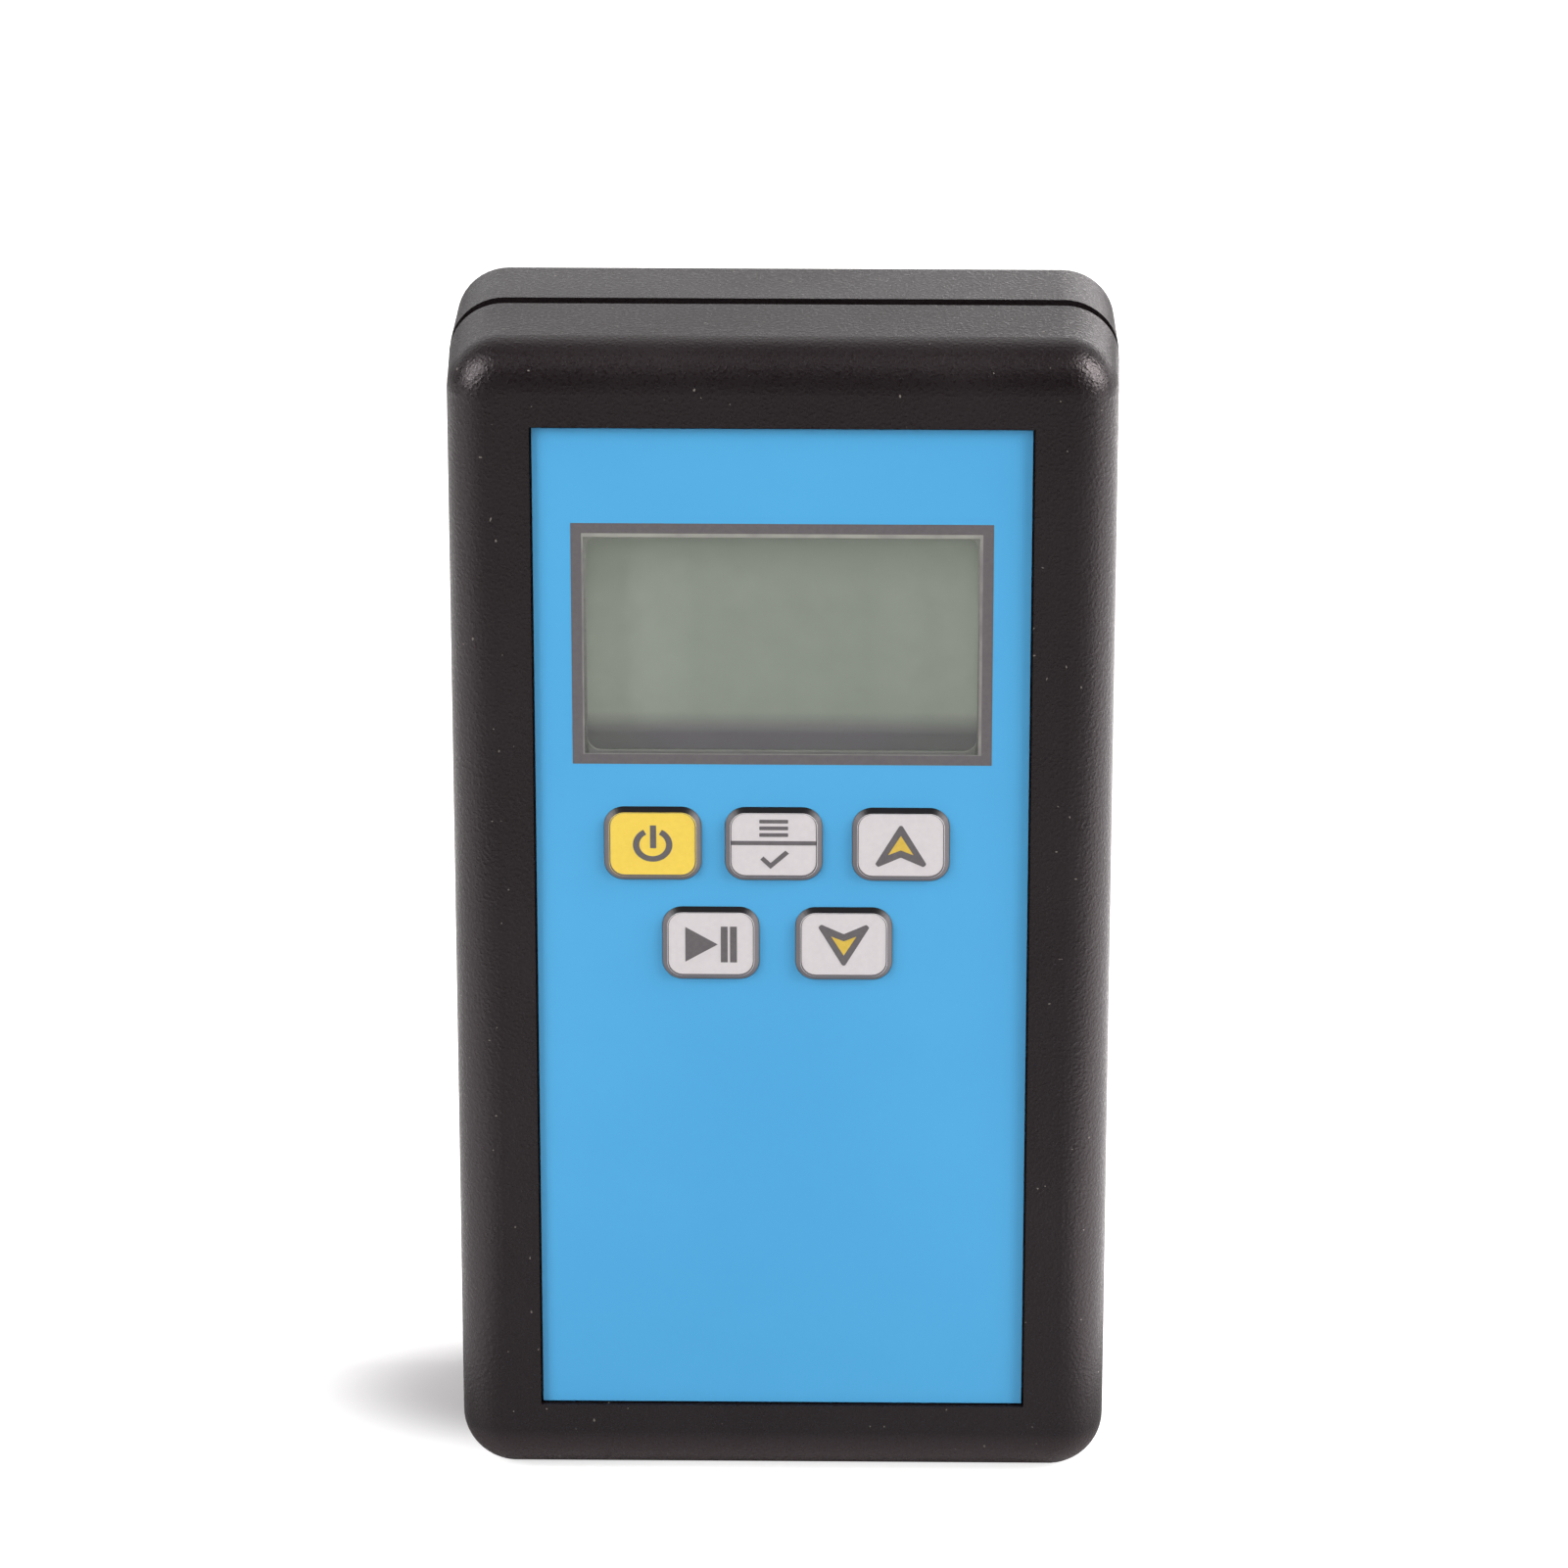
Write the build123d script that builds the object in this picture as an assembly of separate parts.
from build123d import *
from math import radians, tan
import os

# Hand-held Geiger counter in a two-shell moulded case, in millimetres.
# X runs across the case, Y from its face to its back, and Z up its height.
# The case stands on its lower end, and the origin is the middle of that end.

# Case: two ABS shells that meet round a reveal groove
case_width = 71.5
case_depth = 28.0
case_height = 132.6
case_draft = 1.5
case_wall = 2.2
corner_radius = 6.0
front_edge_radius = 4.9
rear_edge_radius = 1.6
joint_y = 1.1
rib_heights = (80.0, 94.0, 108.0)
rib_thickness = 1.2
rib_depth = 1.6
reveal_width = 1.9
lip_thickness = 0.9
lip_length = 1.7
fit_gap = 0.05

front_y = -case_depth / 2
rear_y = case_depth / 2
rim_front_y = joint_y - reveal_width / 2
rim_rear_y = joint_y + reveal_width / 2
tongue_tip_y = rim_front_y - lip_length
rear_inner_y = rear_y - case_wall

# Label panel: a membrane keypad in a shallow recess of the front shell
panel_width = 52.8
panel_height = 114.4
panel_z = 66.25
panel_gap = 0.25
recess_depth = 1.5
floor_thickness = 1.5
film_depth = 0.5
film_thickness = 0.25
spacer_thickness = 0.3

recess_y = front_y + recess_depth
front_inner_y = recess_y + floor_thickness
film_y = front_y + film_depth
spacer_y = film_y + film_thickness
circuit_y = spacer_y + spacer_thickness

# Display window
window_width = 42.8
window_height = 25.5
window_z = 99.05
view_width = 41.6
view_height = 24.6
view_corner = 1.5
lcd_opening_margin = 0.7

# Display module behind the window, in a frame moulded on the front shell
display_width = 46.6
display_top = 113.6
display_foot = 84.6
display_ledge = 79.8
display_frame_gap = 0.5
display_frame_wall = 1.2
display_frame_rise = 2.4
gasket_sheet = 0.4
polariser_sheet = 0.2
polariser_margin = 0.6
glass_sheet = 0.7
flex_width = 20.0
flex_sheet = 0.2
flex_bend = 0.8

# Keys: embossed caps over snap domes, named with the middle of each
keys = {
    "power": (-13.9, 76.1),
    "menu": (-0.9, 76.1),
    "up": (12.75, 76.1),
    "run": (-7.7, 64.45),
    "down": (6.65, 64.45),
}
key_width = 10.5
key_height = 8.55
key_corner = 2.2
key_lean = 50.0
key_proud = 0.45
key_skin = 0.25
key_pocket = (7.6, 6.8)
dome_width = 6.6
dome_rise = 0.6
dome_sheet = 0.12

# Keypad tail and its connector on the board
tail_width = 14.0
tail_sheet = 0.2
tail_z = 50.0
tail_bend = 0.3

# Board
board_width = 64.0
board_foot = 5.0
board_top = 127.0
board_thickness = 1.6
board_notch = 15.0
board_y = -6.4
board_rear_y = board_y + board_thickness
board_fixings = [(27.0, 17.0), (-27.0, 115.0)]
board_screw_diameter = 1.8
board_screw_head_diameter = 3.8
board_screw_head_height = 1.4
standoff_diameter = 5.0

# Case screws
screw_places = [(x, z) for x in (-29.0, 29.0) for z in (8.4, 123.6)]
screw_diameter = 2.9
screw_head_diameter = 5.4
screw_head_height = 1.9
screw_cross = (2.8, 0.6)
screw_cross_depth = 1.0
screw_tip_y = -7.0
counterbore_diameter = 5.8
counterbore_floor_y = 6.0
front_boss_diameter = 6.6
rear_boss_diameter = 8.0

# Battery bay, for two AA cells side by side
cell_diameter = 14.2
cell_length = 50.5
cell_nub_diameter = 5.5
cell_nub_height = 1.2
cell_spacing = 14.8
cell_y = 4.5
trough_diameter = 14.3
bay_foot = 6.6
bay_top = 65.4
bay_wall = 1.4
bay_floor_y = -4.0
bay_half_width = 16.5
bay_rim_y = 11.7
contact_sheet = 0.5
contact_width = 9.0
spring_wire = 0.8
spring_radius = 4.0
spring_cone = 12.0
spring_turns = 2.5
spring_sides = 14

# Battery door, hinged on two pins at its lower edge
door_half_width = 16.0
door_gap = 0.2
door_thickness = case_wall
door_top = 66.2
door_corner = 1.5
hinge_y = rear_y - door_thickness / 2
hinge_z = 8.2
hinge_pin_diameter = 1.3
hinge_pin_length = 1.8
hinge_clearance = 0.05
hinge_lug_width = 4.0
hinge_lug_height = 4.4
hinge_lug_y = 9.8
scoop_radius = 10.0
scoop_depth = 1.2
scoop_rise = 2.4
latch_half_width = 5.0
latch_slot = 0.8
latch_foot = 57.0
latch_sheet = 1.2
latch_set_in = 0.5
latch_hook = 1.0
latch_hook_y = 10.6
latch_ridges = 4
latch_ridge_pitch = 1.6
latch_ridge_radius = 0.45

# Geiger-Mueller tube, a sealed glass counter that lies along the left side
tube_x = -25.0
tube_y = 3.0
tube_z = 66.0
tube_length = 88.0
tube_diameter = 10.0
tube_wall = 0.8
tube_cap_length = 7.0
tube_cap_wall = 0.3
cathode_length = 70.0
cathode_sheet = 0.25
anode_diameter = 0.8
clip_sheet = 0.4
clip_width = 4.0
clip_foot = 7.0
clip_reach = 2.5


# ---------- drawing helpers ----------

def slab(outline, front, rear):
    """An outline drawn with x across and z up, filled from depth front to depth rear."""
    return extrude(Plane.XZ.offset(-rear) * outline, rear - front)


def block(x_range, y_range, z_range):
    """A rectangular block between the given limits."""
    size = [high - low for low, high in (x_range, y_range, z_range)]
    middle = [(high + low) / 2 for low, high in (x_range, y_range, z_range)]
    return Pos(*middle) * Box(*size)


def round_bar(place, diameter, front, rear):
    """A round bar square to the face of the case, at place (x, z)."""
    return slab(Pos(*place) * Circle(diameter / 2), front, rear)


def square(width, height, centre_z, centre_x=0.0):
    """A rectangle about a point of the face."""
    return Pos(centre_x, centre_z) * Rectangle(width, height)


def rounded(width, height, radius, centre_z, centre_x=0.0):
    """A rounded rectangle about a point of the face."""
    return Pos(centre_x, centre_z) * RectangleRounded(width, height, radius)


def ribbon(points, radius, width, sheet, x=0.0):
    """A flat strip along a line of (y, z) points, with a bend of the given radius at each corner."""
    line = FilletPolyline(*[(x, y, z) for y, z in points], radius=radius)
    section = Plane(origin=line @ 0, x_dir=(1, 0, 0), z_dir=line % 0) * Rectangle(width, sheet)
    return sweep(section, path=line)


def facing(piece, axis, last=False):
    """The face of a piece that lies lowest, or highest, along an axis."""
    return piece.faces().sort_by(axis)[-1 if last else 0]


# ---------- case ----------

def case_block(wide_y, narrow_y, inset=0.0, edge_radius=0.0):
    """The form of the case from depth wide_y out to narrow_y, set in from its skin.

    The sides and the top lean inwards with the draft, and the foot is flat. The edge at narrow_y is rounded.
    """
    lean = abs(wide_y - joint_y) * tan(radians(case_draft))
    width = case_width - 2 * (lean + inset)
    top = case_height - lean - inset
    outline = rounded(width, 2 * top, corner_radius - inset, 0.0)
    outward = 1 if narrow_y > wide_y else -1
    start = Plane(origin=(0, wide_y, 0), x_dir=(-outward, 0, 0), z_dir=(0, outward, 0))
    form = extrude(start * outline, abs(narrow_y - wide_y), taper=case_draft)
    form -= block((-width, width), (-case_depth, case_depth), (-2 * top, inset))
    foot_edges = form.edges().group_by(Axis.Z)[0].sort_by(Axis.X)
    form = fillet([foot_edges[0], foot_edges[-1]], corner_radius - inset)
    if edge_radius:
        form = fillet(facing(form, Axis.Y, last=outward > 0).edges(), edge_radius)
    return form


def make_front_shell():
    shell = case_block(rim_front_y, front_y, 0.0, front_edge_radius)
    shell -= case_block(rim_front_y, front_inner_y, case_wall)
    shell -= case_block(rim_front_y, tongue_tip_y, lip_thickness)

    # frame that locates the display, with a gap for its flex
    frame_y = front_inner_y + display_frame_rise
    frame_width = display_width + 2 * display_frame_gap
    frame_height = display_top - display_ledge + 2 * display_frame_gap
    frame_z = (display_top + display_ledge) / 2
    frame = square(frame_width + 2 * display_frame_wall, frame_height + 2 * display_frame_wall, frame_z)
    frame -= square(frame_width, frame_height, frame_z)
    frame -= square(flex_width + 2.0, 4 * display_frame_wall, display_ledge - display_frame_gap)
    shell += slab(frame, front_inner_y, frame_y)

    # standoffs for the board, bosses for the case screws
    for place in board_fixings:
        shell += round_bar(place, standoff_diameter, front_inner_y, board_y)
        shell -= round_bar(place, board_screw_diameter, frame_y, board_y)
    for place in screw_places:
        shell += round_bar(place, front_boss_diameter, front_inner_y, joint_y)
        shell -= round_bar(place, screw_diameter, screw_tip_y - 0.5, joint_y)

    # recess for the panel, opening for the display, slot for the keypad tail
    recess = square(panel_width + 2 * panel_gap, panel_height + 2 * panel_gap, panel_z)
    opening = square(view_width + 2 * lcd_opening_margin, view_height + 2 * lcd_opening_margin, window_z)
    shell -= slab(recess, front_y, recess_y)
    shell -= slab(opening, recess_y, front_inner_y)
    return shell - slab(square(tail_width + 2.0, 1.6, tail_z), recess_y, front_inner_y)


def hinge_sockets():
    """The two blind holes that take the pins of the door."""
    reach = door_half_width + hinge_pin_length + door_gap
    bore = Cylinder(hinge_pin_diameter / 2 + hinge_clearance, 2 * reach, rotation=(0, 90, 0))
    return Pos(0, hinge_y, hinge_z) * bore


def make_rear_shell():
    shell = case_block(rim_rear_y, rear_y, 0.0, rear_edge_radius)
    shell -= case_block(rim_rear_y, rear_inner_y, case_wall)
    shell += case_block(rim_rear_y, tongue_tip_y, lip_thickness + fit_gap) - case_block(
        rim_rear_y, tongue_tip_y, case_wall)

    # tub of the battery bay and the lugs round the hinge sockets
    shell += block((-bay_half_width, bay_half_width), (bay_floor_y, rear_inner_y),
                   (bay_foot - bay_wall, bay_top + bay_wall))
    lug_middle = door_half_width + hinge_lug_width / 2
    for x in (-lug_middle, lug_middle):
        shell += block((x - hinge_lug_width / 2, x + hinge_lug_width / 2), (hinge_lug_y, hinge_y),
                       (hinge_z - hinge_lug_height / 2, hinge_z + hinge_lug_height / 2))

    # screw bosses, and stiffening ribs across the upper half
    for place in screw_places:
        shell += round_bar(place, rear_boss_diameter, joint_y, rear_inner_y)
    rib_half = case_width / 2 - case_wall - corner_radius / 10
    for z in rib_heights:
        shell += block((-rib_half, rib_half), (rear_inner_y - rib_depth, rear_inner_y),
                       (z - rib_thickness / 2, z + rib_thickness / 2))
    for place in screw_places:
        shell -= round_bar(place, counterbore_diameter, counterbore_floor_y, rear_y)
        shell -= round_bar(place, screw_diameter + 2 * fit_gap, joint_y, rear_y)

    # half-round troughs for the cells, open to the back
    half_tub = cell_spacing / 2 + trough_diameter / 2
    shell -= block((-half_tub, half_tub), (cell_y, rear_y), (bay_foot, bay_top))
    for side in (-1, 1):
        x = side * cell_spacing / 2
        shell -= Pos(x, cell_y, bay_foot) * Cylinder(trough_diameter / 2, bay_top - bay_foot,
                                                     align=(Align.CENTER, Align.CENTER, Align.MIN))
        shell -= block((x - 1.1, x + 1.1), (bay_floor_y, cell_y), (bay_foot, bay_foot + contact_sheet))
    shell -= block((-cell_spacing / 2, cell_spacing / 2), (cell_y - contact_width / 2, cell_y),
                   (bay_top - contact_sheet, bay_top))

    # doorway with its ledge, notch for the latch hook, sockets and thumb scoop
    foot = hinge_z - door_thickness / 2 - door_gap + 0.05
    height = door_top + door_gap - foot
    doorway = rounded(2 * (door_half_width + door_gap), height, door_corner, foot + height / 2)
    doorway += Pos(0, foot + height / 4) * Rectangle(2 * (door_half_width + door_gap), height / 2)
    shell -= slab(doorway, bay_rim_y, rear_y)
    hook_half = latch_half_width - 2 * door_gap
    shell -= block((-hook_half, hook_half), (latch_hook_y - 2 * door_gap, rear_inner_y),
                   (bay_top - 0.5, door_top + latch_hook + 0.5 + 3 * door_gap))
    shell -= hinge_sockets()
    return shell - Pos(0, rear_y + scoop_radius - scoop_depth, door_top + scoop_rise) * Sphere(scoop_radius)


def make_case_screws():
    """Self-tapping pan-head screws, driven from the back into the bosses of the front shell."""
    screws = []
    for place in screw_places:
        head_y = counterbore_floor_y + screw_head_height
        head = round_bar(place, screw_head_diameter, counterbore_floor_y, head_y)
        for width, height in (screw_cross, reversed(screw_cross)):
            head -= slab(Pos(*place) * Rectangle(width, height), head_y - screw_cross_depth, head_y)
        screws.append(head + round_bar(place, screw_diameter, screw_tip_y, counterbore_floor_y))
    return Compound(children=screws)


# ---------- battery door ----------

def make_battery_door():
    """Flush door whose lower edge is rolled about the hinge line, with a pin at each end of it."""
    section = Pos(hinge_y, (hinge_z + door_top) / 2) * Rectangle(door_thickness, door_top - hinge_z)
    section += Pos(hinge_y, hinge_z) * Circle(door_thickness / 2)
    door = extrude(Plane.YZ * section, door_half_width, both=True)
    top_corners = door.edges().filter_by(Axis.Y).group_by(Axis.Z)[-1]
    door = fillet(top_corners, door_corner)
    pin_reach = door_half_width + hinge_pin_length
    pins = Cylinder(hinge_pin_diameter / 2, 2 * pin_reach, rotation=(0, 90, 0))
    door += Pos(0, hinge_y, hinge_z) * pins
    gate = latch_half_width + latch_slot
    return door - block((-gate, gate), (rear_inner_y - 1, rear_y), (latch_foot, door_top + 1))


def make_door_latch():
    """Springy tongue of the door: ridges for the thumb outside, and a hook under the shell."""
    skin_y = rear_y - latch_set_in
    tongue = block((-latch_half_width, latch_half_width), (skin_y - latch_sheet, skin_y), (latch_foot, door_top))
    hook_half = latch_half_width - 3 * door_gap
    for number in range(latch_ridges):
        z = door_top - latch_sheet - latch_ridge_pitch * number
        ridge = Plane.YZ * (Pos(skin_y, z) * Circle(latch_ridge_radius))
        tongue += extrude(ridge, hook_half, both=True)
    step_y = rear_inner_y - door_gap / 2
    tongue += block((-hook_half, hook_half), (latch_hook_y, skin_y), (door_top - latch_hook, door_top))
    hook = Polygon((latch_hook_y, door_top), (step_y, door_top), (step_y, door_top + latch_hook), align=None)
    return tongue + extrude(Plane.YZ * hook, hook_half, both=True)


# ---------- membrane keypad ----------

def key_outline(place, shrink=0.0):
    """Outline of a key, drawn in by shrink on every side."""
    x, z = place
    return rounded(key_width - 2 * shrink, key_height - 2 * shrink, key_corner - shrink, z, x)


def make_overlay():
    """Printed film, with a cut-out for the clear pane and one for each key."""
    film = square(panel_width, panel_height, panel_z) - square(window_width, window_height, window_z)
    for place in keys.values():
        film -= key_outline(place)
    return slab(film, film_y, spacer_y)


def make_spacer():
    """White adhesive spacer. Its window is smaller than the pane, so a pale rim shows inside it."""
    sheet = square(panel_width, panel_height, panel_z)
    sheet -= rounded(view_width, view_height, view_corner, window_z)
    for x, z in keys.values():
        sheet -= square(key_width + 0.4, key_height + 0.4, z, x)
    return slab(sheet, spacer_y, circuit_y)


def make_circuit():
    """Printed circuit sheet with a ribbon tail that goes back through the shell."""
    sheet = square(panel_width, panel_height, panel_z)
    sheet -= square(view_width + 1.0, view_height + 1.0, window_z)
    tail = ribbon([(recess_y - tail_sheet / 2, tail_z + 5.0), (recess_y - tail_sheet / 2, tail_z),
                   (board_y - 2.5, tail_z)], tail_bend, tail_width, tail_sheet)
    sheet -= square(tail_width + 2.0, 3.0, tail_z)
    return slab(sheet, circuit_y, recess_y) + tail


def make_key(place):
    """Embossed film cap: a flat crown, sloping sides, and a pocket behind for its dome."""
    x, z = place
    cap = extrude(Plane.XZ.offset(-film_y) * key_outline(place, fit_gap), key_proud, taper=key_lean)
    cap += slab(key_outline(place, fit_gap), film_y, spacer_y)
    return cap - slab(square(*key_pocket, z, x), film_y - key_proud + key_skin, spacer_y)


def make_dome(place):
    """Eight-sided steel snap dome that clicks flat under a key and pushes it back."""

    def pan(half_width, rise):
        outline = Pos(*place) * RegularPolygon(half_width, 8, major_radius=False)
        solid = slab(outline, circuit_y - rise, circuit_y)
        return chamfer(facing(solid, Axis.Y).edges(), rise - dome_sheet / 2)

    return pan(dome_width / 2, dome_rise) - pan(dome_width / 2 - dome_sheet, dome_rise - dome_sheet)


def make_tail_connector():
    """Upright ribbon connector on the face of the board, with its clamp bar."""
    housing = square(tail_width + 5.0, 5.0, tail_z)
    slot = square(tail_width, tail_sheet, tail_z)
    return slab(housing, board_y - 3.0, board_y) - slab(slot, board_y - 3.0, board_y - 0.5)


# ---------- display ----------

def display_layer(foot, width, front, rear, margin=0.0):
    """One sheet of the display: its foot is given, and its top is the top of the module."""
    height = display_top - foot - 2 * margin
    return slab(square(width - 2 * margin, height, foot + margin + height / 2), front, rear)


def make_display():
    """Liquid-crystal display: gasket, polarisers, two glasses, driver chip, backlight and flex."""
    gasket_y = front_inner_y
    polariser_y = gasket_y + gasket_sheet
    upper_glass_y = polariser_y + polariser_sheet
    lower_glass_y = upper_glass_y + glass_sheet
    back_y = lower_glass_y + glass_sheet
    backlight_y = back_y + polariser_sheet

    glasses = Compound(children=[
        display_layer(display_foot, display_width, upper_glass_y, lower_glass_y),
        display_layer(display_ledge, display_width, lower_glass_y, back_y)])
    polarisers = Compound(children=[
        display_layer(display_foot, display_width, polariser_y, upper_glass_y, polariser_margin),
        display_layer(display_foot, display_width, back_y, backlight_y, polariser_margin)])
    gasket = display_layer(display_foot, display_width, gasket_y, polariser_y)
    gasket -= slab(square(view_width + 2.0, view_height + 2.0, window_z), gasket_y, polariser_y)
    backlight = display_layer(display_ledge, display_width, backlight_y, board_y)
    backlight -= display_layer(display_foot, display_width, backlight_y, backlight_y + 0.8, 2.0)

    # the ledge of the lower glass carries the driver chip and the flex, which turns back to the board
    chip_z = (display_foot + display_ledge) / 2 + 0.7
    driver = slab(square(18.0, 1.4, chip_z), lower_glass_y - 0.5, lower_glass_y)
    flex_y = lower_glass_y - flex_sheet / 2
    fold_z = display_ledge - 1.4
    landing_y = board_y - flex_sheet / 2
    flex = ribbon([(flex_y, display_ledge + 1.6), (flex_y, fold_z), (landing_y, fold_z),
                   (landing_y, fold_z - 4.4)], flex_bend, flex_width, flex_sheet)
    return {"lcd_glass": glasses, "lcd_polarisers": polarisers, "lcd_gasket": gasket,
            "lcd_driver_chip": driver, "lcd_backlight": backlight, "lcd_flex": flex}


# ---------- board and what stands on it ----------

def make_board():
    """Glass-epoxy board, notched round the case bosses and drilled for its own screws."""
    height = board_top - board_foot
    board = square(board_width, height, board_foot + height / 2)
    for x in (-board_width / 2, board_width / 2):
        for z in (board_foot, board_top):
            board -= square(board_notch, board_notch, z, x)
    for place in board_fixings:
        board -= Pos(*place) * Circle(1.1)
    return slab(board, board_y, board_rear_y)


def make_board_screws():
    """Small slotted screws that hold the board to its standoffs."""
    screws = []
    head_y = board_rear_y + board_screw_head_height
    for place in board_fixings:
        head = round_bar(place, board_screw_head_diameter, board_rear_y, head_y)
        head -= slab(Pos(*place) * Rectangle(2.2, 0.5), head_y - 0.6, head_y)
        screws.append(head + round_bar(place, board_screw_diameter, board_y - 2.0, board_rear_y))
    return Compound(children=screws)


def make_microcontroller(x, z, body=9.0, height=1.4, span=11.4, leads=7, pitch=1.2, lead=0.5):
    """Flat package with a row of flat leads down each side."""
    chip = slab(square(body, body, z, x), board_rear_y + lead / 5, board_rear_y + height)
    for row in range(leads):
        lead_z = z + (row - (leads - 1) / 2) * pitch
        chip += slab(square(span, lead, lead_z, x), board_rear_y, board_rear_y + lead)
    return chip


def make_crystal(x, z, length=10.2, width=3.8, height=3.6):
    """Low quartz crystal can."""
    return slab(Pos(x, z) * SlotOverall(length, width), board_rear_y, board_rear_y + height)


def make_transformer(x, z, width=14.0, height=13.0, base=1.0, core_foot=3.0, core_top=9.0, leg=4.0):
    """Step-up transformer of the tube supply: a ferrite frame round a wound bobbin."""
    window = (3.0, 8.4)
    foot = board_rear_y + core_foot
    top = board_rear_y + core_top
    core = slab(square(width, height, z, x), foot, top)
    for side in (-1, 1):
        core -= slab(square(*window, z, x + side * (leg + window[0]) / 2), foot, top)
    winding = slab(square(leg + 2 * window[0], window[1], z, x), board_rear_y + base, top + 2.0)
    winding += slab(square(width, height, z, x), board_rear_y, board_rear_y + base)
    return core, winding - core


def make_can_capacitors(places, diameter, height):
    """Radial electrolytic capacitors that smooth the tube supply."""
    return Compound(children=[
        round_bar(place, diameter, board_rear_y, board_rear_y + height) for place in places])


def make_buzzer(x, z, diameter=12.0, height=7.0, hole=2.4):
    """Sounder for the clicks: a drum with its sound hole."""
    top_y = board_rear_y + height
    drum = round_bar((x, z), diameter, board_rear_y, top_y)
    return drum - round_bar((x, z), hole, top_y - hole, top_y)


def make_small_parts(x, z, rows=4, columns=3, transistors=3):
    """Chip resistors in rows, and the transistors of the pulse and supply circuits."""
    chips = []
    for row in range(rows):
        for column in range(columns):
            place = Pos(x + 3.6 * column, z + 3.2 * row)
            chips.append(slab(place * Rectangle(2.0, 1.25), board_rear_y, board_rear_y + 0.6))
    for number in range(transistors):
        place = Pos(-11.0 + 7.0 * number, z - 2.0)
        chips.append(slab(place * Rectangle(3.0, 2.6), board_rear_y, board_rear_y + 1.1))
    return Compound(children=chips)


def make_inductor(x, z, side=7.0, height=4.0, pot=5.4):
    """Shielded power inductor of the supply."""
    top_y = board_rear_y + height
    case = slab(square(side, side, z, x), board_rear_y, top_y)
    return case - round_bar((x, z), pot, top_y - 0.5, top_y)


# ---------- counter tube ----------

def tube_bar(diameter, length, middle=tube_z):
    """A round bar on the axis of the tube, about a height."""
    return Pos(tube_x, tube_y, middle) * Cylinder(diameter / 2, length)


def make_tube():
    """Counter tube: glass envelope, cathode sleeve, anode wire, end caps and the clips that hold them."""
    glass_length = tube_length - 2 * tube_cap_length
    bore = tube_diameter - 2 * tube_wall
    glass = tube_bar(tube_diameter, glass_length) - tube_bar(bore, glass_length)
    cathode = tube_bar(bore, cathode_length) - tube_bar(bore - 2 * cathode_sheet, cathode_length)
    anode = tube_bar(anode_diameter, glass_length)
    cap_diameter = tube_diameter + 2 * tube_cap_wall

    caps = []
    clips = []
    for side in (-1, 1):
        z = tube_z + side * (tube_length - tube_cap_length) / 2
        caps.append(tube_bar(cap_diameter, tube_cap_length, z))
        # clip: a folded strip with two upright cheeks that grip the cap, on a foot soldered to the board
        foot_y = board_rear_y + clip_sheet
        seat_y = tube_y - cap_diameter / 2
        outer = cap_diameter / 2 + clip_sheet
        height = (z - clip_width / 2, z + clip_width / 2)
        clip = block((tube_x - outer, tube_x + outer), (seat_y - clip_sheet, tube_y + clip_reach), height)
        clip -= block((tube_x - cap_diameter / 2, tube_x + cap_diameter / 2),
                      (seat_y, tube_y + clip_reach), height)
        clip += block((tube_x - clip_width / 2, tube_x + clip_width / 2),
                      (foot_y, seat_y - clip_sheet), height)
        clips.append(clip + block((tube_x - clip_foot / 2, tube_x + clip_foot / 2),
                                  (board_rear_y, foot_y), height))
    return {"tube_glass": glass, "tube_cathode": cathode, "tube_anode": anode,
            "tube_end_caps": Compound(children=caps), "tube_clips": Compound(children=clips)}


# ---------- cells and contacts ----------

def make_cell(x, plus_up):
    """AA cell: its can, and the nub of its plus end."""
    body = cell_length - cell_nub_height
    grounded = (Align.CENTER, Align.CENTER, Align.MIN)
    cell = Cylinder(cell_diameter / 2, body, align=grounded)
    cell += Cylinder(cell_nub_diameter / 2, cell_length, align=grounded)
    if plus_up:
        foot = bay_top - contact_sheet - cell_length
        return Pos(x, cell_y, foot) * cell
    foot = bay_foot + contact_sheet + cell_length
    return Pos(x, cell_y, foot) * Rot(180, 0, 0) * cell


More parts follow.
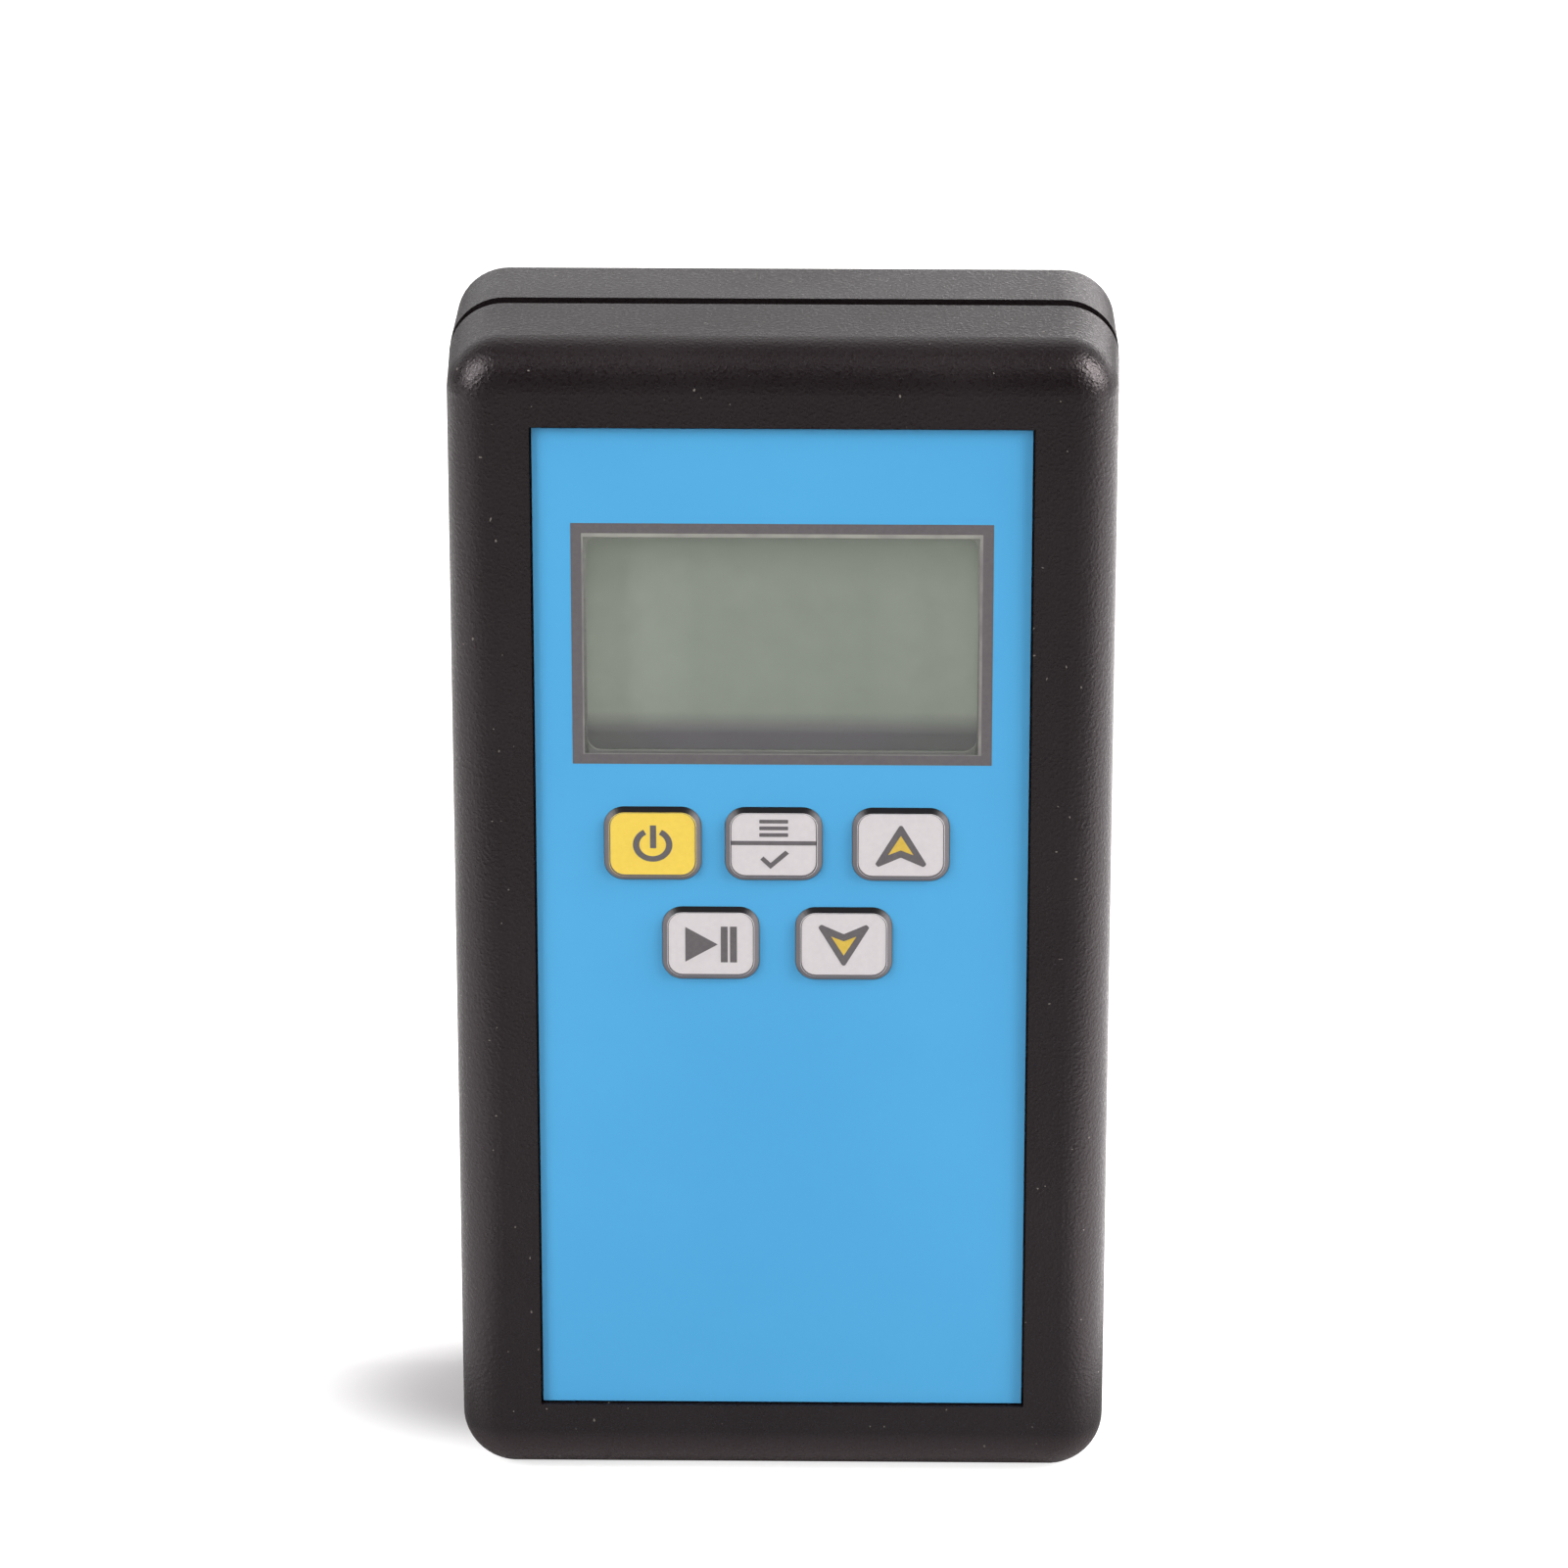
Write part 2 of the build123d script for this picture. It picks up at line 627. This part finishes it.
def make_contacts():
    """Sprung and flat contacts: a link across the top, and two terminals with tails at the foot."""
    half = contact_width / 2
    plate = (cell_y - half, cell_y + half)
    link = block((-cell_spacing / 2 - half, cell_spacing / 2 + half), plate, (bay_top - contact_sheet, bay_top))
    terminals = []
    springs = []
    for side in (-1, 1):
        x = side * cell_spacing / 2
        terminal = block((x - half, x + half), plate, (bay_foot, bay_foot + contact_sheet))
        tail = block((x - 1.0, x + 1.0), (board_rear_y, plate[0]), (bay_foot, bay_foot + contact_sheet))
        terminals.append(terminal + tail)

        # spring: wide at its plate, narrow at the cell
        height = bay_top - bay_foot - 2 * contact_sheet - cell_length - spring_wire
        steps = round(spring_turns * spring_sides)
        sections = []
        for step in range(steps + 1):
            rise = height * step / steps
            radius = spring_radius - rise * tan(radians(spring_cone))
            place = Rot(0, 0, 360 * step / spring_sides) * Pos(radius, 0, rise) * Rot(90, 0, 0)
            sections.append(place * Rectangle(spring_wire, spring_wire))
        spring = loft(sections, ruled=True)
        start = spring_wire / 2 + contact_sheet
        if side < 0:
            springs.append(Pos(x, cell_y, bay_foot + start) * spring)
        else:
            springs.append(Pos(x, cell_y, bay_top - start) * Rot(180, 0, 0) * spring)
    return {"link_contact": link, "terminal_contacts": Compound(children=terminals),
            "contact_springs": Compound(children=springs)}


# ---------- the pieces, one file each ----------
pieces = {
    "front_shell": make_front_shell(),
    "rear_shell": make_rear_shell(),
    "case_screws": make_case_screws(),
    "battery_door": make_battery_door(),
    "door_latch": make_door_latch(),
    "keypad_overlay": make_overlay(),
    "display_window": slab(rounded(window_width, window_height, 0.3, window_z), film_y, spacer_y),
    "keypad_spacer": make_spacer(),
    "keypad_circuit": make_circuit(),
    "tail_connector": make_tail_connector(),
    "main_board": make_board(),
    "board_screws": make_board_screws(),
    "microcontroller": make_microcontroller(2.0, 84.0),
    "quartz_crystal": make_crystal(2.0, 95.0),
    "high_voltage_capacitors": make_can_capacitors([(24.0, 58.0), (24.0, 46.0)], 8.0, 11.5),
    "buzzer": make_buzzer(0.0, 112.0),
    "power_inductor": make_inductor(13.0, 74.0),
    "small_parts": make_small_parts(21.0, 74.0),
    "aa_cell_left": make_cell(-cell_spacing / 2, plus_up=True),
    "aa_cell_right": make_cell(cell_spacing / 2, plus_up=False),
}
pieces["transformer_core"], pieces["transformer_winding"] = make_transformer(22.0, 101.0)
for name, place in keys.items():
    pieces[f"{name}_key"] = make_key(place)
    pieces[f"{name}_dome"] = make_dome(place)
pieces.update(make_display())
pieces.update(make_tube())
pieces.update(make_contacts())

os.makedirs("parts", exist_ok=True)
for name, piece in pieces.items():
    export_step(piece, f"parts/{name}.step")
print(f"{len(pieces)} nodes written")
